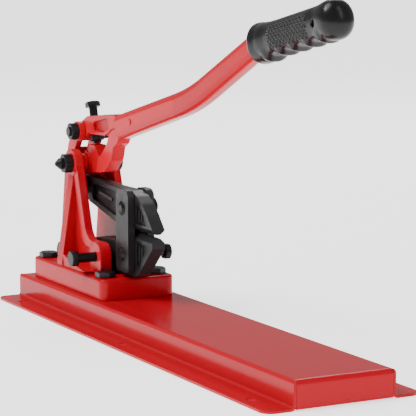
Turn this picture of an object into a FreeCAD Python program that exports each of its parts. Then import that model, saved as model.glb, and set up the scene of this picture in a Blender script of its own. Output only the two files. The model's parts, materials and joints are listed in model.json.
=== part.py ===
import FreeCAD, Part
import math
import os

V = FreeCAD.Vector
R = FreeCAD.Rotation

# Driving dimensions of the bench shear, in millimetres (degrees for angles).
DIMS = {
    "base_length": 600.0,
    "base_top_width": 101.0,
    "base_height": 26.0,
    "sheet_thickness": 2.5,
    "flange_width": 27.0,
    "bench_hole_d": 9.5,
    "bench_hole_half_pitch": 256.0,
    "bench_hole_offset": 66.0,
    "bed_thickness": 21.5,
    "bed_bolt_d": 10.0,
    "bed_bolt_head_af": 18.0,
    "bed_bolt_head_h": 6.0,
    "tower_gap": 33.0,
    "tower_plate": 8.5,
    "fulcrum_d": 12.0,
    "fulcrum_boss_d": 30.0,
    "jaw_thickness": 14.0,
    "jaw_tail_thickness": 20.0,
    "heel_d": 47.2,
    "pivot_d": 10.0,
    "pivot_bore_d": 10.1,
    "strap_thickness": 7.6,
    "set_bolt_d": 10.0,
    "set_bolt_af": 15.0,
    "adjust_d": 9.0,
    "adjust_af": 14.0,
    "m10_af": 17.0,
    "m12_af": 19.0,
    "link_cheek": 6.2,
    "link_inner": 8.4,
    "link_bolt_d": 10.0,
    "tail_pin_d": 8.4,
    "yoke_thickness": 16.0,
    "lower_arm_thickness": 14.0,
    "tube_height": 26.0,
    "tube_width": 21.0,
    "tube_wall": 2.0,
    "tube_end_d": 20.0,
    "cross_pin_d": 6.0,
}

BASE_TOP = DIMS["base_height"]
BED_TOP = BASE_TOP + DIMS["bed_thickness"]
HALF_GAP = DIMS["tower_gap"] / 2
FULCRUM = (-214.0, 156.0)
LINK_PIVOT = (-222.0, 189.0)
TAIL_PIVOT = (-219.0, 133.0)
UPPER_PIVOT = (-108.0, 119.5)
LOWER_PIVOT = (-108.0, 72.0)
SET_BOLT = (-144.0, 65.0)
REAR_BOLT = (-231.5, 60.0)
BED_BOLTS = [(-268.0, -29.0), (-268.0, 29.0), (-119.0, -29.0), (-119.0, 29.0)]
TUBE_PATH = [(-133.5, 199.8), (27.0, 238.5), (152.0, 296.0), (278.0, 320.8)]
GRIP_START = (155.0, 296.5)
GRIP_END = (292.0, 323.5)
ADJUST_HEAD = (-212.2, 219.5)
ADJUST_TIP = (-199.7, 178.4)

doc = FreeCAD.newDocument("bench_shear")
sheet = doc.addObject("Spreadsheet::Sheet", "dims")
for row, (alias, value) in enumerate(DIMS.items(), start=1):
    sheet.set("A%d" % row, alias)
    sheet.set("B%d" % row, str(value))
    sheet.setAlias("B%d" % row, alias)
doc.recompute()

NODES = {}


def bind(obj, prop, value):
    """Give a property a number, or tie it to the spreadsheet by expression."""
    if isinstance(value, str):
        obj.setExpression(prop, value)
    else:
        setattr(obj, prop, value)


def cylinder(radius, height, base, rotation=R()):
    obj = doc.addObject("Part::Cylinder", "cylinder")
    bind(obj, "Radius", radius)
    bind(obj, "Height", height)
    obj.Placement = FreeCAD.Placement(V(*base), rotation)
    return obj


def cross_pin(centre, y_low, y_high, radius):
    """A round bar lying along Y between two Y values."""
    base = (centre[0], y_high, centre[1])
    return cylinder(radius, y_high - y_low, base, R(V(1, 0, 0), 90))


def cone(radius_low, radius_high, height, base, rotation=R()):
    obj = doc.addObject("Part::Cone", "cone")
    obj.Radius1 = radius_low
    obj.Radius2 = radius_high
    obj.Height = height
    obj.Placement = FreeCAD.Placement(V(*base), rotation)
    return obj


def box(corner, size):
    obj = doc.addObject("Part::Box", "box")
    obj.Length, obj.Width, obj.Height = size
    obj.Placement = FreeCAD.Placement(V(*corner), R())
    return obj


def fuse(*shapes):
    obj = doc.addObject("Part::MultiFuse", "fuse")
    obj.Shapes = list(shapes)
    obj.Refine = True
    return obj


def cut(base, *tools):
    obj = doc.addObject("Part::Cut", "cut")
    obj.Base = base
    obj.Tool = tools[0] if len(tools) == 1 else fuse(*tools)
    obj.Refine = True
    return obj


def common(first, second):
    obj = doc.addObject("Part::Common", "common")
    obj.Base = first
    obj.Tool = second
    return obj


def group(*shapes):
    obj = doc.addObject("Part::Compound", "group")
    obj.Links = list(shapes)
    return obj


def hex_prism(across_flats, height, base, rotation):
    obj = doc.addObject("Part::Prism", "hexagon")
    obj.Polygon = 6
    bind(obj, "Circumradius", across_flats + " / 1.7320508")
    bind(obj, "Height", height)
    obj.Placement = FreeCAD.Placement(V(*base), rotation)
    return obj


def hex_head(af_name, height, base, direction, both=False):
    """A hexagon with its outer corners chamfered at thirty degrees."""
    turn = R(V(0, 0, 1), V(*direction))
    af = DIMS[af_name]
    body = hex_prism("dims." + af_name, height, base, turn)
    slope = 1.75
    top = cone(af / 2 * 0.94 + height * slope, af / 2 * 0.94, height, base, turn)
    head = common(body, top)
    if both:
        low = cone(af / 2 * 0.94, af / 2 * 0.94 + height * slope, height, base, turn)
        head = common(head, low)
    return head


def rounded(points):
    """Sketch geometry of a closed outline whose corners have the radii given."""
    count = len(points)
    joints = []
    for i in range(count):
        here = V(points[i][0], points[i][1], 0)
        before = V(points[i - 1][0], points[i - 1][1], 0)
        after = V(points[(i + 1) % count][0], points[(i + 1) % count][1], 0)
        radius = points[i][2] if len(points[i]) > 2 else 0
        to_before = (before - here).normalize()
        to_after = (after - here).normalize()
        angle = to_before.getAngle(to_after)
        if radius <= 0 or abs(angle - math.pi) < 1e-3:
            joints.append((here, None, here))
            continue
        reach = radius / math.tan(angle / 2)
        bisector = (to_before + to_after).normalize()
        centre = here + bisector * (radius / math.sin(angle / 2))
        middle = centre - bisector * radius
        joints.append((here + to_before * reach, middle, here + to_after * reach))
    geometry = []
    for i in range(count):
        start, middle, end = joints[i]
        if middle is not None:
            geometry.append(Part.ArcOfCircle(start, middle, end))
        following = joints[(i + 1) % count][0]
        if end.distanceToPoint(following) > 1e-6:
            geometry.append(Part.LineSegment(end, following))
    return geometry


PLANES = {
    "XZ": R(V(1, 0, 0), 90),
    "YZ": R(V(1, 1, 1), 120),
    "XY": R(),
}


def extrude(points, plane, offset, length):
    """An outline drawn in a plane and carried along that plane's normal."""
    outline = doc.addObject("Sketcher::SketchObject", "outline")
    outline.addGeometry(rounded(points), False)
    normal = PLANES[plane].multVec(V(0, 0, 1))
    outline.Placement = FreeCAD.Placement(normal * offset, PLANES[plane])
    solid = doc.addObject("Part::Extrusion", "extrusion")
    solid.Base = outline
    solid.DirMode = "Normal"
    solid.Solid = True
    bind(solid, "LengthFwd", length)
    return solid


def plate(points, y_low, y_high):
    """A flat piece in the XZ plane filling the Y range given."""
    return extrude(points, "XZ", -y_high, y_high - y_low)


def mid_plate(points, thickness_name):
    """A flat piece in the XZ plane centred on Y = 0."""
    half = DIMS[thickness_name] / 2
    return extrude(points, "XZ", -half, "dims." + thickness_name)


def node(name, obj):
    obj.Label = name
    NODES[name] = obj
    return obj


def make_base():
    half = DIMS["base_top_width"] / 2
    wide = half + DIMS["flange_width"]
    t = DIMS["sheet_thickness"]
    top = BASE_TOP
    section = [
        (-wide, 0), (t - half, 0, 4.5), (t - half, top - t, 1), (half - t, top - t, 1),
        (half - t, 0, 4.5), (wide, 0), (wide, t), (half, t, 2), (half, top, 3.5),
        (-half, top, 3.5), (-half, t, 2), (-wide, t),
    ]
    hat = extrude(section, "YZ", -DIMS["base_length"] / 2, "dims.base_length")
    end = DIMS["base_length"] / 2
    corners = [(-end, -wide, 11), (end, -wide, 11), (end, wide, 11), (-end, wide, 11)]
    trimmed = common(hat, extrude(corners, "XY", -1, top + 2))
    inside = half - t
    notches = [box((s * end - 5 if s > 0 else -end - 5, -inside, t + 2), (10, 2 * inside, top))
               for s in (-1, 1)]
    body = cut(trimmed, *notches)
    flaps = []
    for s in (-1, 1):
        flap = [(s * (end - 7), top - t), (s * (end - t), top - t, 2.0), (s * (end - t), 1.0),
                (s * end, 1.0), (s * end, top, 4.5), (s * (end - 7), top)]
        flaps.append(extrude(flap, "XZ", -(inside - 0.25), 2 * (inside - 0.25)))
    body = fuse(body, *flaps)
    holes = []
    pitch = DIMS["bench_hole_half_pitch"]
    for x in (-pitch, 0, pitch):
        for s in (-1, 1):
            base = (x, s * DIMS["bench_hole_offset"], -1)
            holes.append(cylinder("dims.bench_hole_d / 2", t + 2, base))
    for x, y in BED_BOLTS:
        holes.append(cylinder("dims.bed_bolt_d / 2 + 0.25", t + 2, (x, y, top - t - 1)))
    node("base_channel", cut(body, *holes))


def make_bed():
    edge = 41.5
    corners = [(-284, -edge, 9), (-99, -edge, 9), (-99, edge, 9), (-284, edge, 9)]
    slab = extrude(corners, "XY", BASE_TOP, "dims.bed_thickness")
    doc.recompute()
    soft = doc.addObject("Part::Fillet", "soft_edge")
    soft.Base = slab
    upper = []
    for index, item in enumerate(slab.Shape.Edges, start=1):
        if abs(item.BoundBox.ZMin - BED_TOP) < 1e-4:
            upper.append((index, 2.5, 2.5))
    soft.Edges = upper
    pieces = [soft]
    outer = HALF_GAP + DIMS["tower_plate"]
    low = BED_TOP - 3
    side = [(-246, low), (-228.8, 158, 6), (-199.5, 158, 6), (-174, 79, 18), (-130.5, 80, 14), (-130.5, low)]
    web = [(-215, 54, 3), (-215, 138, 3), (-206, 138, 3), (-185, 73, 10), (-166, 71, 3), (-161, 54, 3)]
    ear = [(-158, low), (-158, 80, 13), (-130.5, 80, 13), (-130.5, low)]
    foot = [(-206, low), (-206, 60), (-176, 53), (-148, low + 4)]
    for s in (-1, 1):
        near = s * HALF_GAP
        far = s * outer
        wall = plate(side, min(near, far), max(near, far))
        recess = plate(web, min(far - s * 2.5, far + s), max(far - s * 2.5, far + s))
        pieces.append(cut(wall, recess))
        boss_end = s * (outer + 0.5)
        ear_end = s * (outer + 4)
        foot_end = s * 38.5
        low_y, high_y = min(near, boss_end), max(near, boss_end)
        pieces.append(cross_pin(FULCRUM, low_y, high_y, "dims.fulcrum_boss_d / 2"))
        pieces.append(plate(ear, min(near, ear_end), max(near, ear_end)))
        rib = [(s * (HALF_GAP + 1), low), (s * 39.5, low), (s * 39.5, BED_TOP + 4),
               (s * (outer + 0.5), 143.5), (s * (HALF_GAP + 1), 143.5)]
        pieces.append(extrude(rib, "YZ", -219.5, 13.5))
        pieces.append(plate(foot, min(s * 19, foot_end), max(s * 19, foot_end)))
    body = fuse(*pieces)
    holes = [
        cross_pin(FULCRUM, -45, 45, "dims.fulcrum_d / 2 + 0.05"),
        cross_pin(REAR_BOLT, -45, 45, 5.05),
        cross_pin(SET_BOLT, -45, 45, "dims.set_bolt_d / 2 + 0.05"),
    ]
    for x, y in BED_BOLTS:
        holes.append(cylinder("dims.bed_bolt_d / 2 + 0.25", 40, (x, y, BASE_TOP - 2)))
    node("bed_frame", cut(body, *holes))


def make_bed_fasteners():
    bolts = []
    washers = []
    nuts = []
    under = BASE_TOP - DIMS["sheet_thickness"]
    for x, y in BED_BOLTS:
        head = hex_head("bed_bolt_head_af", DIMS["bed_bolt_head_h"], (x, y, BED_TOP), (0, 0, 1))
        shank = cylinder("dims.bed_bolt_d / 2", BED_TOP - 8.5, (x, y, 9.5))
        bolts.append(fuse(head, shank))
        ring = cylinder(10, 2, (x, y, under - 2))
        washers.append(cut(ring, cylinder(5.2, 4, (x, y, under - 3))))
        nut = hex_head("m10_af", 8, (x, y, under - 10), (0, 0, 1), True)
        nuts.append(cut(nut, cylinder("dims.bed_bolt_d / 2", 12, (x, y, under - 12))))
    node("bed_bolts", group(*bolts))
    node("bed_washers", group(*washers))
    node("bed_nuts", group(*nuts))


def cross_bolt(centre, head_y, tip_y, radius, af_name, head_height):
    """A hexagon bolt along Y: its head seat at head_y, its shank to tip_y."""
    s = 1 if tip_y > head_y else -1
    base = (centre[0], head_y, centre[1])
    head = hex_head(af_name, head_height, base, (0, -s, 0))
    start = head_y - s * 0.5
    shank = cross_pin(centre, min(start, tip_y), max(start, tip_y), radius)
    return fuse(head, shank)


def cross_nut(centre, seat_y, side, radius, af_name, height):
    """A hexagon nut along Y, seated at seat_y and growing toward side."""
    base = (centre[0], seat_y, centre[1])
    nut = hex_head(af_name, height, base, (0, side, 0), True)
    reach = sorted((seat_y - side, seat_y + side * (height + 1)))
    return cut(nut, cross_pin(centre, reach[0], reach[1], radius))


def cross_rings(centre, y_low, y_high, outer, inner):
    rings = []
    for s in (-1, 1):
        low, high = sorted((s * y_low, s * y_high))
        ring = cross_pin(centre, low, high, outer)
        rings.append(cut(ring, cross_pin(centre, low - 1, high + 1, inner)))
    return rings


def make_tower_fasteners():
    outer = HALF_GAP + DIMS["tower_plate"]
    seat = outer + 0.5
    bolt = cross_bolt(FULCRUM, seat, -38.0, "dims.fulcrum_d / 2", "m12_af", 7)
    base = (FULCRUM[0], -38.0, FULCRUM[1])
    tip = cone(DIMS["fulcrum_d"] / 2, 1.8, 5, base, R(V(0, 0, 1), V(0, -1, 0)))
    node("fulcrum_bolt", fuse(bolt, tip))
    nut = cross_nut(FULCRUM, -seat, -1, "dims.fulcrum_d / 2", "m12_af", 9)
    node("fulcrum_nut", nut)
    rings = cross_rings(FULCRUM, 8.3, HALF_GAP, 9.5, "dims.fulcrum_d / 2")
    node("fulcrum_spacers", group(*rings))
    rear = cross_bolt(REAR_BOLT, -outer, 36.0, 5.0, "m10_af", 6.5)
    node("rear_jaw_bolt", rear)
    node("rear_jaw_nut", cross_nut(REAR_BOLT, outer, 1, 5.0, "m10_af", 8))
    rings = cross_rings(REAR_BOLT, DIMS["jaw_tail_thickness"] / 2, HALF_GAP, 8.5, 5.0)
    node("rear_spacers", group(*rings))
    tip = DIMS["jaw_tail_thickness"] / 2 + 0.05
    for name, s in (("set_bolt_left", -1), ("set_bolt_right", 1)):
        bolt = cross_bolt(SET_BOLT, s * 50.0, s * (tip + 1.5), "dims.set_bolt_d / 2", "set_bolt_af", 7)
        base = (SET_BOLT[0], s * (tip + 1.5), SET_BOLT[1])
        point = cone(5.0, 3.6, 1.5, base, R(V(0, 0, 1), V(0, -s, 0)))
        node(name, fuse(bolt, point))


def bevels(z_edge, direction):
    """Two wedges that grind the jaw to a cutting edge on its middle plane."""
    wedges = []
    for s in (-1, 1):
        wedge = [(s * 0.4, z_edge), (s * 9, z_edge), (s * 9, z_edge - direction * 9.0),
                 (s * 7.1, z_edge - direction * 6.6)]
        wedges.append(extrude(wedge, "YZ", -96.0, 50))
    return wedges


def face_recess(points, depth):
    """Shallow panels cast into both faces of a jaw."""
    half = DIMS["jaw_thickness"] / 2
    return [plate(points, half - depth, half + 1), plate(points, -half - 1, depth - half)]


def raised_bars(outlines, floor, height):
    """Low plain bars standing in the shallow panels of a jaw, on both faces."""
    bars = []
    for outline in outlines:
        bars.append(plate(outline, floor - 0.3, floor + height))
        bars.append(plate(outline, -floor - height, 0.3 - floor))
    return bars


def upright_bar(x, z_low, z_high):
    return [(x, z_low), (x + 1.8, z_low), (x + 1.8, z_high), (x, z_high)]


def make_jaws():
    blade = [(-54, 93.9, 0.4), (-53.5, 83.5, 2), (-85, 53.5, 5), (-95, 49, 4), (-130, 49, 3),
             (-130, 87), (-95.5, 89), (-95.5, 95.3)]
    tail = [(-128, 48.5, 3), (-236, 48.5, 4), (-236, 70, 7), (-186, 79, 20), (-128, 83, 2)]
    heel = cross_pin(LOWER_PIVOT, -7, 7, "dims.heel_d / 2")
    body = fuse(mid_plate(blade, "jaw_thickness"), mid_plate(tail, "jaw_tail_thickness"), heel)
    panel = [(-90, 86, 2), (-65, 84, 2), (-84, 63, 3), (-90, 60, 2)]
    cuts = [
        cross_pin(LOWER_PIVOT, -12, 12, "dims.pivot_bore_d / 2"),
        cross_pin(REAR_BOLT, -12, 12, 5.05),
    ]
    bars = raised_bars([upright_bar(-86, 66, 82), upright_bar(-79.5, 70, 82)], 5.4, 1.1)
    trimmed = cut(body, *(cuts + bevels(95.6, 1) + face_recess(panel, 1.6)))
    node("lower_jaw", fuse(trimmed, *bars))

    head = [(-54, 97.6, 0.4), (-52.5, 101, 2), (-66.5, 116.2, 20), (-77, 126, 20), (-90, 133.2, 20),
            (-104, 137.5, 12), (-150, 137.5, 60), (-219, 142.4), (-219, 123.6), (-206, 115, 5),
            (-141, 101, 6), (-125, 104), (-95.5, 102), (-95.5, 96.1)]
    heel = cut(cross_pin(UPPER_PIVOT, -7, 7, "dims.heel_d / 2"), box((-140, -10, 128), (64, 20, 30)))
    eye = cross_pin(TAIL_PIVOT, -7, 7, 9.4)
    body = fuse(mid_plate(head, "jaw_thickness"), heel, eye)
    panel = [(-90, 126, 3), (-79, 119.5, 3), (-65, 105.5, 2), (-90, 105, 2)]
    beam = [(-128, 132, 3), (-200, 136, 3), (-198, 119, 3), (-142, 107.5, 4), (-128, 110, 3)]
    cuts = [
        cross_pin(UPPER_PIVOT, -12, 12, "dims.pivot_bore_d / 2"),
        cross_pin(TAIL_PIVOT, -12, 12, "dims.tail_pin_d / 2"),
    ]
    recesses = face_recess(panel, 1.6) + face_recess(beam, 2.4)
    trimmed = cut(body, *(cuts + bevels(95.8, -1) + recesses))
    slanted = [(-184, 126), (-152, 121), (-152, 124), (-184, 129)]
    bars = raised_bars([upright_bar(-86, 107.5, 120), upright_bar(-80, 107.5, 116)], 5.4, 1.1)
    bars += raised_bars([slanted], 4.6, 1.2)
    node("upper_jaw", fuse(trimmed, *bars))


def make_straps():
    outline = [(-122.5, 53.5, 5), (-93.5, 53.5, 5), (-93.5, 139, 9), (-122.5, 139, 9)]
    inner = DIMS["jaw_thickness"] / 2 + 0.3
    outer = inner + DIMS["strap_thickness"]
    for name, s in (("strap_left", -1), ("strap_right", 1)):
        low, high = sorted((s * inner, s * outer))
        body = plate(outline, low, high)
        cuts = []
        for centre in (UPPER_PIVOT, LOWER_PIVOT):
            cuts.append(cross_pin(centre, low - 1, high + 1, "dims.pivot_d / 2"))
            if s < 0:
                cuts.append(cross_pin(centre, -outer - 1, 0.8 - outer, 7.4))
        node(name, cut(body, *cuts))
    for label, centre in (("upper", UPPER_PIVOT), ("lower", LOWER_PIVOT)):
        pin = cross_pin(centre, 0.8 - outer, outer + 9, "dims.pivot_d / 2")
        rim = cross_pin(centre, -outer, 0.8 - outer, 6.4)
        crown = cone(6.4, 3.4, 1.9, (centre[0], -outer, centre[1]), R(V(0, 0, 1), V(0, -1, 0)))
        node(label + "_pivot_bolt", fuse(pin, rim, crown))
        nut = cross_nut(centre, outer, 1, "dims.pivot_d / 2", "m10_af", 7)
        node(label + "_pivot_nut", nut)


def make_link():
    cheek = [(-232.3, 189), (-246, 172, 20), (-246, 148, 20), (-229.3, 133), (-213, 129),
             (-227.5, 150, 12), (-227.5, 168, 12), (-212, 190)]
    inner = DIMS["link_inner"]
    outer = inner + DIMS["link_cheek"]
    pieces = []
    for s in (-1, 1):
        low, high = sorted((s * inner, s * outer))
        pieces.append(plate(cheek, low, high))
        pieces.append(cross_pin(LINK_PIVOT, low, high, 10.5))
        pieces.append(cross_pin(TAIL_PIVOT, low, high, 11.0))
    bridge = [(-245.4, 150, 1), (-239.5, 150, 1), (-239.5, 170, 1), (-245.4, 170, 1)]
    pieces.append(plate(bridge, -inner - 1, inner + 1))
    bores = [cross_pin(LINK_PIVOT, -20, 20, 5.05), cross_pin(TAIL_PIVOT, -20, 20, 7.3)]
    node("link", cut(fuse(*pieces), *bores))
    node("link_bolt", cross_bolt(LINK_PIVOT, outer, -outer - 10, "dims.link_bolt_d / 2", "m10_af", 6.5))
    node("link_nut", cross_nut(LINK_PIVOT, -outer, -1, "dims.link_bolt_d / 2", "m10_af", 8))
    node("tail_pin", cross_pin(TAIL_PIVOT, -16.2, 16.2, "dims.tail_pin_d / 2"))
    rings = cross_rings(TAIL_PIVOT, outer + 0.1, 16.0, 9.0, "dims.tail_pin_d / 2")
    node("tail_washers", group(*rings))


def along(start, end):
    """Unit direction and turn about Y of a line in the XZ plane."""
    dx, dz = end[0] - start[0], end[1] - start[1]
    angle = math.degrees(math.atan2(dz, dx))
    return R(V(0, 1, 0), -angle)


def bar(start, turn, u_range, half_width, v_range):
    """A rectangular bar laid along a sloping line in the XZ plane."""
    obj = doc.addObject("Part::Box", "bar")
    obj.Length = u_range[1] - u_range[0]
    obj.Width = 2 * half_width
    obj.Height = v_range[1] - v_range[0]
    offset = turn.multVec(V(u_range[0], -half_width, v_range[0]))
    obj.Placement = FreeCAD.Placement(V(start[0], 0, start[1]) + offset, turn)
    return obj


def tube_wire(inset, at_grip):
    """The closed, rounded section of the handle tube at one of its ends."""
    height = DIMS["tube_end_d" if at_grip else "tube_height"] / 2 - inset
    width = DIMS["tube_end_d" if at_grip else "tube_width"] / 2 - inset
    radius = 7.5 - inset
    points = [(-width, -height, radius), (width, -height, radius),
              (width, height, radius), (-width, height, radius)]
    section = Part.Wire([item.toShape() for item in rounded(points)])
    start, end = (TUBE_PATH[2], TUBE_PATH[3]) if at_grip else (TUBE_PATH[0], TUBE_PATH[1])
    place = end if at_grip else start
    turn = along(start, end).multiply(R(V(1, 1, 1), 120))
    section.Placement = FreeCAD.Placement(V(place[0], 0, place[1]), turn)
    return section


def tube_spine():
    points = [V(x, 0, z) for x, z in TUBE_PATH]
    edges = []
    last = points[0]
    for i in (1, 2):
        before = (points[i - 1] - points[i]).normalize()
        after = (points[i + 1] - points[i]).normalize()
        angle = before.getAngle(after)
        radius = 330.0 if i == 1 else 90.0
        reach = radius / math.tan(angle / 2)
        bisector = (before + after).normalize()
        centre = points[i] + bisector * (radius / math.sin(angle / 2))
        start = points[i] + before * reach
        end = points[i] + after * reach
        edges.append(Part.makeLine(last, start))
        edges.append(Part.Arc(start, centre - bisector * radius, end).toShape())
        last = end
    edges.append(Part.makeLine(last, points[3]))
    return Part.Wire(edges)


def swept(inset):
    shell = Part.BRepOffsetAPI.MakePipeShell(tube_spine())
    shell.setBiNormalMode(V(0, 1, 0))
    shell.add(tube_wire(inset, False))
    shell.add(tube_wire(inset, True))
    shell.build()
    shell.makeSolid()
    return shell.shape()


def feature(shape):
    obj = doc.addObject("Part::Feature", "swept")
    obj.Shape = shape
    return obj


def make_lever():
    turn = along(TUBE_PATH[0], TUBE_PATH[1])
    start = TUBE_PATH[0]
    adjust = V(ADJUST_HEAD[0] - ADJUST_TIP[0], 0, ADJUST_HEAD[1] - ADJUST_TIP[1]).normalize()
    adjust_turn = R(V(0, 0, 1), adjust)
    tip = V(ADJUST_TIP[0], 0, ADJUST_TIP[1])

    def on_axis(distance):
        return tuple(tip + adjust * distance)

    seam = [(-134.2, 199.7), (-150, 195.6), (-155.5, 191.6)]
    upper = [(-229, 196.5, 3), (-208, 206, 8), (-150, 212, 14), (-137.2, 212.4, 1)] + seam
    upper += [(-166, 188.4, 6), (-207, 187.5, 3), (-217, 179.8, 2)]
    body = fuse(mid_plate(upper, "yoke_thickness"), cross_pin(LINK_PIVOT, -8, 8, 10.5),
                bar(start, turn, (-6, 60), 6.4, (0.0, 9.5)))
    pocket = [(-194, 200.5, 3), (-158, 207, 3), (-156, 196, 3), (-168, 192, 4), (-190, 191.5, 3)]
    cuts = [
        plate(pocket, -9, -5), plate(pocket, 5, 9),
        cross_pin(LINK_PIVOT, -12, 12, 5.05),
        cylinder("dims.adjust_d / 2 + 0.05", 60, on_axis(0), adjust_turn),
    ]
    pin_centre = turn.multVec(V(36, 0, 0)) + V(start[0], 0, start[1])
    pin_axis = (pin_centre.x, pin_centre.z)
    cuts.append(cross_pin(pin_axis, -20, 20, "dims.cross_pin_d / 2"))
    node("yoke_upper_arm", cut(body, *cuts))

    lower = [(-222, 162), (-207, 176.2, 3), (-194, 176.2, 2), (-180.5, 163.5, 4), (-160.5, 181, 10)]
    lower += seam[::-1] + [(-132, 188.2, 1), (-136, 182.5, 2), (-145, 178, 3)]
    lower += [(-149, 165, 12), (-168, 150, 16), (-188, 147.2, 16), (-206, 145.5)]
    boss = cross_pin(FULCRUM, -8, 8, 13)
    body = fuse(mid_plate(lower, "lower_arm_thickness"), boss,
                bar(start, turn, (-6, 60), 6.4, (-9.5, 0.0)))
    clear = [(-223, 200), (-222, 178), (-209, 178), (-209, 200)]
    cuts = [
        cross_pin(FULCRUM, -12, 12, "dims.fulcrum_d / 2 + 0.05"),
        cross_pin(pin_axis, -20, 20, "dims.cross_pin_d / 2"),
        plate(clear, -12, 12),
    ]
    node("yoke_lower_arm", cut(body, *cuts))

    head = hex_head("adjust_af", 5.5, on_axis(38.5), tuple(adjust))
    shank = cylinder("dims.adjust_d / 2", 38.5, on_axis(0.2), adjust_turn)
    node("adjusting_bolt", fuse(head, shank))
    nut = hex_head("adjust_af", 4.5, on_axis(2.2), tuple(adjust), True)
    bore = cylinder("dims.adjust_d / 2 + 0.05", 20, on_axis(-5), adjust_turn)
    node("adjusting_lock_nut", cut(nut, bore))

    outer = feature(swept(0))
    hollow = feature(swept(DIMS["tube_wall"]))
    tube = cut(outer, hollow, cross_pin(pin_axis, -20, 20, "dims.cross_pin_d / 2"))
    node("handle_tube", tube)
    node("handle_cross_pin", cross_pin(pin_axis, -11.3, 11.3, "dims.cross_pin_d / 2"))


def make_grip():
    turn = along(GRIP_START, GRIP_END)
    stations = [
        (0, 16.5, 16.5, 15), (4, 19, 19, 17.5), (12, 17.8, 19, 16.5), (22, 16.6, 19.4, 15.6),
        (34, 16.4, 17, 15.2), (46, 16.2, 18.8, 15), (57, 16, 16.6, 15), (68, 16, 18.6, 15),
        (80, 16, 16.4, 15), (93, 16, 18.6, 15), (106, 16.4, 16.6, 15), (118, 18, 18.2, 16),
        (129, 18.6, 17.5, 16.5), (136, 15, 14.5, 14), (139.6, 9.5, 9, 9),
    ]
    wires = []
    for u, top, bottom, half in stations:
        middle = (top - bottom) / 2
        tall = (top + bottom) / 2
        centre = turn.multVec(V(u, 0, middle)) + V(GRIP_START[0], 0, GRIP_START[1])
        major, minor = max(tall, half), min(tall, half)
        ellipse = Part.Ellipse(V(0, 0, 0), major + 0.01, minor).toShape()
        wire = Part.Wire([ellipse])
        up = R(V(0, 1, 0), -90) if tall >= half else R(V(1, 1, 1), 120)
        wire.Placement = FreeCAD.Placement(centre, turn.multiply(up))
        wires.append(wire)
    loft = feature(Part.makeLoft(wires, True, False))
    bore = feature(swept(0))
    node("hand_grip", cut(loft, bore))


make_base()
make_bed()
make_bed_fasteners()
make_tower_fasteners()
make_jaws()
make_straps()
make_link()
make_lever()
make_grip()
doc.recompute()

for obj in doc.Objects:
    if "Invalid" in obj.State or "Error" in obj.State:
        raise RuntimeError("%s (%s) failed: %s" % (obj.Name, obj.Label, obj.State))

os.makedirs("parts", exist_ok=True)
for name, obj in NODES.items():
    shape = obj.Shape
    if shape.isNull() or not shape.isValid() or shape.Volume < 1:
        raise RuntimeError("node %s has no valid solid" % name)
    shape.exportStep("parts/%s.step" % name)
    print(name, len(shape.Solids), round(shape.Volume))
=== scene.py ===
import json
import math

import bpy
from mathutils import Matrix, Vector


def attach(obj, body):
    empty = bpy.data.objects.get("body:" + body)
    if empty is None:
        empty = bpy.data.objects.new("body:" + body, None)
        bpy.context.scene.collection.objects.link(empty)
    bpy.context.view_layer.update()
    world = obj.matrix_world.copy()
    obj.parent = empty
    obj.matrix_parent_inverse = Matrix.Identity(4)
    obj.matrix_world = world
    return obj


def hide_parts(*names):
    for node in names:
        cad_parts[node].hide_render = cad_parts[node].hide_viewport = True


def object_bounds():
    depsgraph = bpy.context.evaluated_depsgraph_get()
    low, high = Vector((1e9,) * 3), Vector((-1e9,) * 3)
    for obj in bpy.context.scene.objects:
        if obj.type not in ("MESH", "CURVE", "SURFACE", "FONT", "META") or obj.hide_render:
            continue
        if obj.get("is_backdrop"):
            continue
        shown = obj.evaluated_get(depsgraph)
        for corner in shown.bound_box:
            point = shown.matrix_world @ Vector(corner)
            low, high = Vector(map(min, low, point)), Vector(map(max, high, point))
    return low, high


BLACK = (0, 0, 0, 1)
WHITE = (1, 1, 1, 1)

# The grip's axis in metres; its own measures below are in millimetres along it.
GRIP_START = Vector((0.155, 0.0, 0.2965))
GRIP_END = Vector((0.292, 0.0, 0.3235))
GRIP_LENGTH = 139.4
KNOB_START = 124.0
RIDGE_PLACES = (22.0, 46.0, 68.0, 92.0, 114.0)
RIDGE_WIDTH = 5.0
PANEL_START, PANEL_END, PANEL_HALF = 34.0, 102.0, 11.0
PIT_LONG, PIT_TALL, PIT_DEPTH = 5.6, 2.7, 1.3
HOLE_PLACE, HOLE_RADIUS, HOLE_DEPTH = 113.0, 3.4, 3.4

FLOOR_HALF = 40
FLOOR_HEIGHT = -0.0002
FLOOR_GLOW = 1.5
SKY_STRENGTH = 0.4
CAMERA_LENS = 159.4
CAMERA_PLACE = Vector((1.5824, -0.8067, 0.3683))
CAMERA_TARGET = Vector((0.0524, 0.0, 0.1375))


def write_size(found):
    for name, item in found.items() if isinstance(found, dict) else [("bounds", found)]:
        as_plain(item)


def as_plain(item):
    if isinstance(item, dict):
        return {key: as_plain(value) for key, value in item.items()}
    if isinstance(item, (int, float, str)) or item is None:
        return item
    return [as_plain(value) for value in item]


def node(tree, kind, **inputs):
    """A shader node with its inputs set by socket name."""
    made = tree.nodes.new(kind)
    for name, value in inputs.items():
        made.inputs[name.replace("_", " ")].default_value = value
    return made


def ramp(tree, factor, low, high, start=0.3, end=0.7):
    made = tree.nodes.new("ShaderNodeValToRGB")
    made.color_ramp.elements[0].position = start
    made.color_ramp.elements[1].position = end
    made.color_ramp.elements[0].color = low
    made.color_ramp.elements[1].color = high
    tree.links.new(factor, made.inputs["Fac"])
    return made.outputs["Color"]


def span(tree, factor, low, high):
    made = tree.nodes.new("ShaderNodeMapRange")
    made.inputs["To Min"].default_value = low
    made.inputs["To Max"].default_value = high
    tree.links.new(factor, made.inputs["Value"])
    return made.outputs["Result"]


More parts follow.
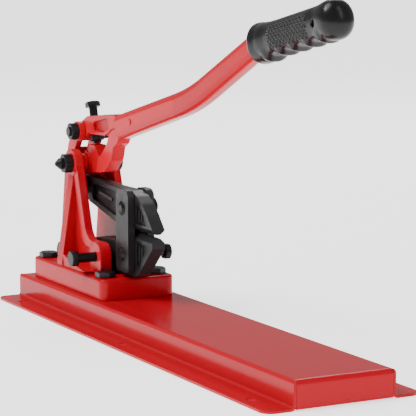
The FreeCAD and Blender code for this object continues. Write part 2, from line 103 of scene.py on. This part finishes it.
def noise(tree, scale, detail=3.0, rough=0.5):
    place = tree.nodes.new("ShaderNodeTexCoord")
    made = node(tree, "ShaderNodeTexNoise", Scale=scale, Detail=detail, Roughness=rough)
    tree.links.new(place.outputs["Object"], made.inputs["Vector"])
    return made.outputs["Fac"]


def bump(tree, layers, edge_radius):
    """Softened edges, then stacked bumps of (height socket, strength, distance in metres)."""
    soft = tree.nodes.new("ShaderNodeBevel")
    soft.samples = 6
    soft.inputs["Radius"].default_value = edge_radius
    normal = soft.outputs["Normal"]
    for height, strength, distance in layers:
        made = node(tree, "ShaderNodeBump", Strength=strength, Distance=distance)
        tree.links.new(height, made.inputs["Height"])
        tree.links.new(normal, made.inputs["Normal"])
        normal = made.outputs["Normal"]
    return normal


def new_material(name):
    material = bpy.data.materials.new(name)
    material.use_nodes = True
    tree = material.node_tree
    return material, tree, tree.nodes["Principled BSDF"]


def paint(name, deep, bright, edge_highlight, peel, relief, rough, edge_radius):
    """Gloss enamel: slight colour drift, orange peel, and a painted highlight on convex edges."""
    material, tree, shader = new_material(name)
    drift = ramp(tree, noise(tree, 9.0, 4.0), deep, bright)
    edge = tree.nodes.new("ShaderNodeNewGeometry")
    # Convex edges, found by pointiness, are mixed towards a lighter red: a painted highlight.
    pointed = ramp(tree, edge.outputs["Pointiness"], BLACK, WHITE, 0.53, 0.62)
    mix = tree.nodes.new("ShaderNodeMix")
    mix.data_type = "RGBA"
    tree.links.new(pointed, mix.inputs["Factor"])
    tree.links.new(drift, mix.inputs["A"])
    mix.inputs["B"].default_value = edge_highlight
    tree.links.new(mix.outputs["Result"], shader.inputs["Base Color"])
    sheen = span(tree, noise(tree, 60.0, 2.0), rough * 0.8, rough * 1.25)
    tree.links.new(sheen, shader.inputs["Roughness"])
    layers = [(noise(tree, 420.0, 2.0), peel, 0.0004), (noise(tree, 38.0, 3.0), relief, 0.0012)]
    tree.links.new(bump(tree, layers, edge_radius), shader.inputs["Normal"])
    shader.inputs["Coat Weight"].default_value = 0.04
    shader.inputs["Coat Roughness"].default_value = 0.08
    shader.inputs["Specular IOR Level"].default_value = 0.1
    return material


def black_steel(name, low, high, rough, grain, grain_size):
    """Blackened steel: dark oxide with a satin, slightly grained surface and a painted highlight on
    convex edges.
    """
    material, tree, shader = new_material(name)
    tone = ramp(tree, noise(tree, 45.0, 5.0, 0.6), low, high)
    # Convex edges, found by pointiness, are mixed towards a lighter grey: a painted highlight.
    edge = tree.nodes.new("ShaderNodeNewGeometry")
    pointed = ramp(tree, edge.outputs["Pointiness"], BLACK, WHITE, 0.54, 0.66)
    mix = tree.nodes.new("ShaderNodeMix")
    mix.data_type = "RGBA"
    tree.links.new(pointed, mix.inputs["Factor"])
    tree.links.new(tone, mix.inputs["A"])
    mix.inputs["B"].default_value = (0.035, 0.035, 0.037, 1)
    tree.links.new(mix.outputs["Result"], shader.inputs["Base Color"])
    shader.inputs["Metallic"].default_value = 0.05
    shader.inputs["Specular IOR Level"].default_value = 0.16
    sheen = span(tree, noise(tree, 110.0, 3.0), rough * 0.8, rough * 1.25)
    tree.links.new(sheen, shader.inputs["Roughness"])
    layers = [(noise(tree, grain_size, 3.0, 0.6), grain, 0.0005)]
    tree.links.new(bump(tree, layers, 0.0007), shader.inputs["Normal"])
    return material


def grip_plastic():
    """Glossy black moulded vinyl with faint flow marks and fine scuffs."""
    material, tree, shader = new_material("grip_black")
    tone = ramp(tree, noise(tree, 30.0, 4.0), (0.003, 0.003, 0.0035, 1), (0.009, 0.009, 0.010, 1))
    tree.links.new(tone, shader.inputs["Base Color"])
    sheen = span(tree, noise(tree, 90.0, 3.0), 0.2, 0.34)
    tree.links.new(sheen, shader.inputs["Roughness"])
    layers = [(noise(tree, 600.0, 2.0), 0.1, 0.0003)]
    tree.links.new(bump(tree, layers, 0.0001), shader.inputs["Normal"])
    shader.inputs["Specular IOR Level"].default_value = 0.22
    shader.inputs["Coat Weight"].default_value = 0.08
    shader.inputs["Coat Roughness"].default_value = 0.1
    return material


def smooth_blend(values, position):
    """Smooth interpolation through (position, value...) stations."""
    if position <= values[0][0]:
        return values[0][1:]
    for before, after in zip(values, values[1:]):
        if position <= after[0]:
            t = (position - before[0]) / (after[0] - before[0])
            t = t * t * (3 - 2 * t)
            return tuple(a + (b - a) * t for a, b in zip(before[1:], after[1:]))
    return values[-1][1:]


def grip_section(u):
    """Half sizes of the grip at u millimetres: up, down, across and squareness."""
    stations = [
        (0, 15.8, 15.8, 14.4, 2.3), (1.2, 17.6, 17.6, 16.2, 2.3), (4, 18.8, 18.8, 17.3, 2.2),
        (14, 17.2, 18.3, 16.0, 2.4), (30, 15.9, 16.6, 14.8, 2.8), (44, 15.6, 15.6, 14.7, 2.9),
        (100, 15.6, 15.6, 14.7, 2.9), (110, 16.0, 15.6, 14.8, 2.6), (124, 18.0, 16.9, 16.0, 2.2),
        (140, 18.0, 16.9, 16.0, 2.1),
    ]
    top, bottom, half, power = smooth_blend(stations, u)
    cap = max(0.0, (u - KNOB_START) / 15.5)
    close = math.sqrt(max(0.0004, 1.0 - cap ** 2.6))
    return top * close, bottom * close, half * close, power


def finger_ridge(u, angle):
    """Ridges between the fingers, swelling only along the underside."""
    below = max(0.0, -math.sin(angle)) ** 1.5
    wave = 0.0
    for place in RIDGE_PLACES:
        wave += math.exp(-((u - place) / RIDGE_WIDTH) ** 2)
    fade = min(1.0, max(0.0, (u - 12.0) / 8.0), max(0.0, (KNOB_START - u) / 8.0))
    return (wave * 4.4 - 2.6) * below * fade


def pit_pattern(u, height):
    """Rows of staggered pits on the side panels, from -1 in a pit to 0 outside the panel."""
    inside = min(
        (u - PANEL_START) / 3.0, (PANEL_END - u) / 3.0,
        (height + PANEL_HALF) / 1.6, (PANEL_HALF - height) / 1.6,
    )
    if inside <= 0.0:
        return 0.0
    row = math.floor(height / PIT_TALL)
    along = (u / PIT_LONG + 0.5 * (row % 2)) % 1.0 - 0.5
    upward = (height / PIT_TALL) % 1.0 - 0.5
    pit = max(0.0, 1.0 - abs(along * 2.25) ** 2 - abs(upward * 2.25) ** 2) ** 0.7
    return -pit * min(1.0, inside)


def build_grip():
    """The moulded grip, swept from its flared collar to its domed end knob."""
    axis = (GRIP_END - GRIP_START).normalized()
    side = Vector((0.0, 1.0, 0.0))
    up = axis.cross(side)
    rings = 520
    spokes = 320
    vertices = []
    for i in range(rings + 1):
        u = GRIP_LENGTH * i / rings
        top, bottom, half, power = grip_section(u)
        for j in range(spokes):
            angle = 2 * math.pi * j / spokes
            c, s = math.cos(angle), math.sin(angle)
            tall = top if s > 0 else bottom
            reach = (abs(c / half) ** power + abs(s / tall) ** power) ** (-1.0 / power)
            x = c * reach
            z = s * reach
            z -= finger_ridge(u, angle)
            panel = pit_pattern(u, z) if abs(c) > 0.5 else 0.0
            x += math.copysign(panel * PIT_DEPTH, c)
            x -= math.copysign(hole_depth(u, z), c)
            vertices.append(GRIP_START + (axis * u + side * x + up * z) * 0.001)
    faces = []
    for i in range(rings):
        for j in range(spokes):
            k = (j + 1) % spokes
            faces.append((i * spokes + j, i * spokes + k, (i + 1) * spokes + k, (i + 1) * spokes + j))
    faces.append(tuple(reversed(range(spokes))))
    faces.append(tuple(range(rings * spokes, (rings + 1) * spokes)))
    mesh = bpy.data.meshes.new("grip_skin")
    mesh.from_pydata([tuple(v) for v in vertices], [], faces)
    mesh.validate()
    grip = bpy.data.objects.new("grip_skin", mesh)
    bpy.context.scene.collection.objects.link(grip)
    for polygon in mesh.polygons:
        polygon.use_smooth = True
    return grip


def hole_depth(u, z):
    """A blind round hole in the side of the grip near its end."""
    reach = math.hypot(u - HOLE_PLACE, z + 0.5)
    return HOLE_DEPTH * min(1.0, max(0.0, (HOLE_RADIUS - reach) / 0.5))


def add_area(name, place, target, size, power, size_y=None):
    light = bpy.data.lights.new(name, "AREA")
    light.energy = power
    light.shape = "RECTANGLE"
    light.size = size
    light.size_y = size_y or size
    holder = bpy.data.objects.new(name, light)
    holder.location = place
    holder.rotation_euler = (Vector(target) - Vector(place)).to_track_quat("-Z", "Y").to_euler()
    bpy.context.scene.collection.objects.link(holder)


def add_sun(place, strength, spread):
    light = bpy.data.lights.new("sun", "SUN")
    light.energy = strength
    light.angle = spread
    holder = bpy.data.objects.new("sun", light)
    holder.rotation_euler = (Vector((0, 0, 0)) - Vector(place)).to_track_quat("-Z", "Y").to_euler()
    bpy.context.scene.collection.objects.link(holder)


def add_floor():
    """A plain pale studio floor, wide enough to fill every view to the horizon."""
    corners = ((-1, -1), (1, -1), (1, 1), (-1, 1))
    vertices = [(x * FLOOR_HALF, y * FLOOR_HALF, FLOOR_HEIGHT) for x, y in corners]
    mesh = bpy.data.meshes.new("floor")
    mesh.from_pydata(vertices, [], [(0, 1, 2, 3)])
    floor = bpy.data.objects.new("floor", mesh)
    bpy.context.scene.collection.objects.link(floor)
    material, tree, shader = new_material("floor_white")
    tone = ramp(tree, noise(tree, 1.5), (0.90, 0.90, 0.90, 1), (0.92, 0.92, 0.92, 1))
    tree.links.new(tone, shader.inputs["Base Color"])
    shader.inputs["Roughness"].default_value = 0.9
    shader.inputs["Specular IOR Level"].default_value = 0.1
    tree.links.new(tone, shader.inputs["Emission Color"])
    shader.inputs["Emission Strength"].default_value = FLOOR_GLOW
    mesh.materials.append(material)
    floor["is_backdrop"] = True


def add_world():
    world = bpy.data.worlds.new("studio")
    world.use_nodes = True
    sky = world.node_tree.nodes["Background"]
    sky.inputs["Color"].default_value = WHITE
    sky.inputs["Strength"].default_value = SKY_STRENGTH
    bpy.context.scene.world = world


def add_camera():
    data = bpy.data.cameras.new("camera")
    data.lens = CAMERA_LENS
    data.sensor_width = 36.0
    data.clip_start = 0.05
    data.clip_end = 50.0
    data.dof.use_dof = False
    holder = bpy.data.objects.new("camera", data)
    holder.location = CAMERA_PLACE
    holder.rotation_euler = (CAMERA_TARGET - CAMERA_PLACE).to_track_quat("-Z", "Y").to_euler()
    bpy.context.scene.collection.objects.link(holder)
    bpy.context.scene.camera = holder


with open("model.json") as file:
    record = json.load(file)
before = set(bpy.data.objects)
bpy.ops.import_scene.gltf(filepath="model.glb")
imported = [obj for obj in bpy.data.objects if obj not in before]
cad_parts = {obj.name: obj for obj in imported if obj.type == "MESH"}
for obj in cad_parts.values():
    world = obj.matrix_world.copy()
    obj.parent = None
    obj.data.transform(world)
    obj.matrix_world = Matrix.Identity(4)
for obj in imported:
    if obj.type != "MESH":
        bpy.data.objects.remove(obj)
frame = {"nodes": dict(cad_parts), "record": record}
write_size(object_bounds())

# The third colour of each paint is the painted highlight laid on its convex edges.
materials = {
    "sheet_red": paint(
        "sheet_red", (0.30, 0.0, 0.005, 1), (0.36, 0.0, 0.007, 1), (0.46, 0.002, 0.012, 1),
        0.04, 0.02, 0.16, 0.0008,
    ),
    "cast_red": paint(
        "cast_red", (0.38, 0.0, 0.007, 1), (0.47, 0.0, 0.010, 1), (0.56, 0.004, 0.016, 1),
        0.08, 0.25, 0.24, 0.0018,
    ),
    "tube_red": paint(
        "tube_red", (0.40, 0.0, 0.008, 1), (0.48, 0.0, 0.011, 1), (0.56, 0.004, 0.016, 1),
        0.06, 0.06, 0.22, 0.0006,
    ),
    "jaw_black": black_steel(
        "jaw_black", (0.004, 0.004, 0.0045, 1), (0.011, 0.011, 0.012, 1), 0.34, 0.25, 320.0,
    ),
    "fastener_black": black_steel(
        "fastener_black", (0.003, 0.003, 0.0035, 1), (0.010, 0.010, 0.011, 1), 0.3, 0.12, 500.0,
    ),
    "grip_black": grip_plastic(),
}

slot_of = {item["node"]: item["material_slot"] for item in frame["record"]["subparts"]}
for name, item in frame["nodes"].items():
    item.data.materials.clear()
    item.data.materials.append(materials[slot_of[name]])

grip = build_grip()
grip.data.materials.append(materials["grip_black"])
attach(grip, "lever")
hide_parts("hand_grip")

add_floor()
add_world()
add_area("key", (-0.5, -2.2, 2.7), (-0.1, 0, 0.1), 1.0, 34)
add_area("strip", (1.9, 0.7, 1.7), (0, 0, 0.15), 0.5, 9, size_y=1.8)
add_area("back", (-2.2, 1.6, 2.4), (-0.1, 0, 0.1), 1.4, 34)
add_sun((-0.6, -1.6, 2.7), 2.5, 0.7)
add_camera()
write_size(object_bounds())
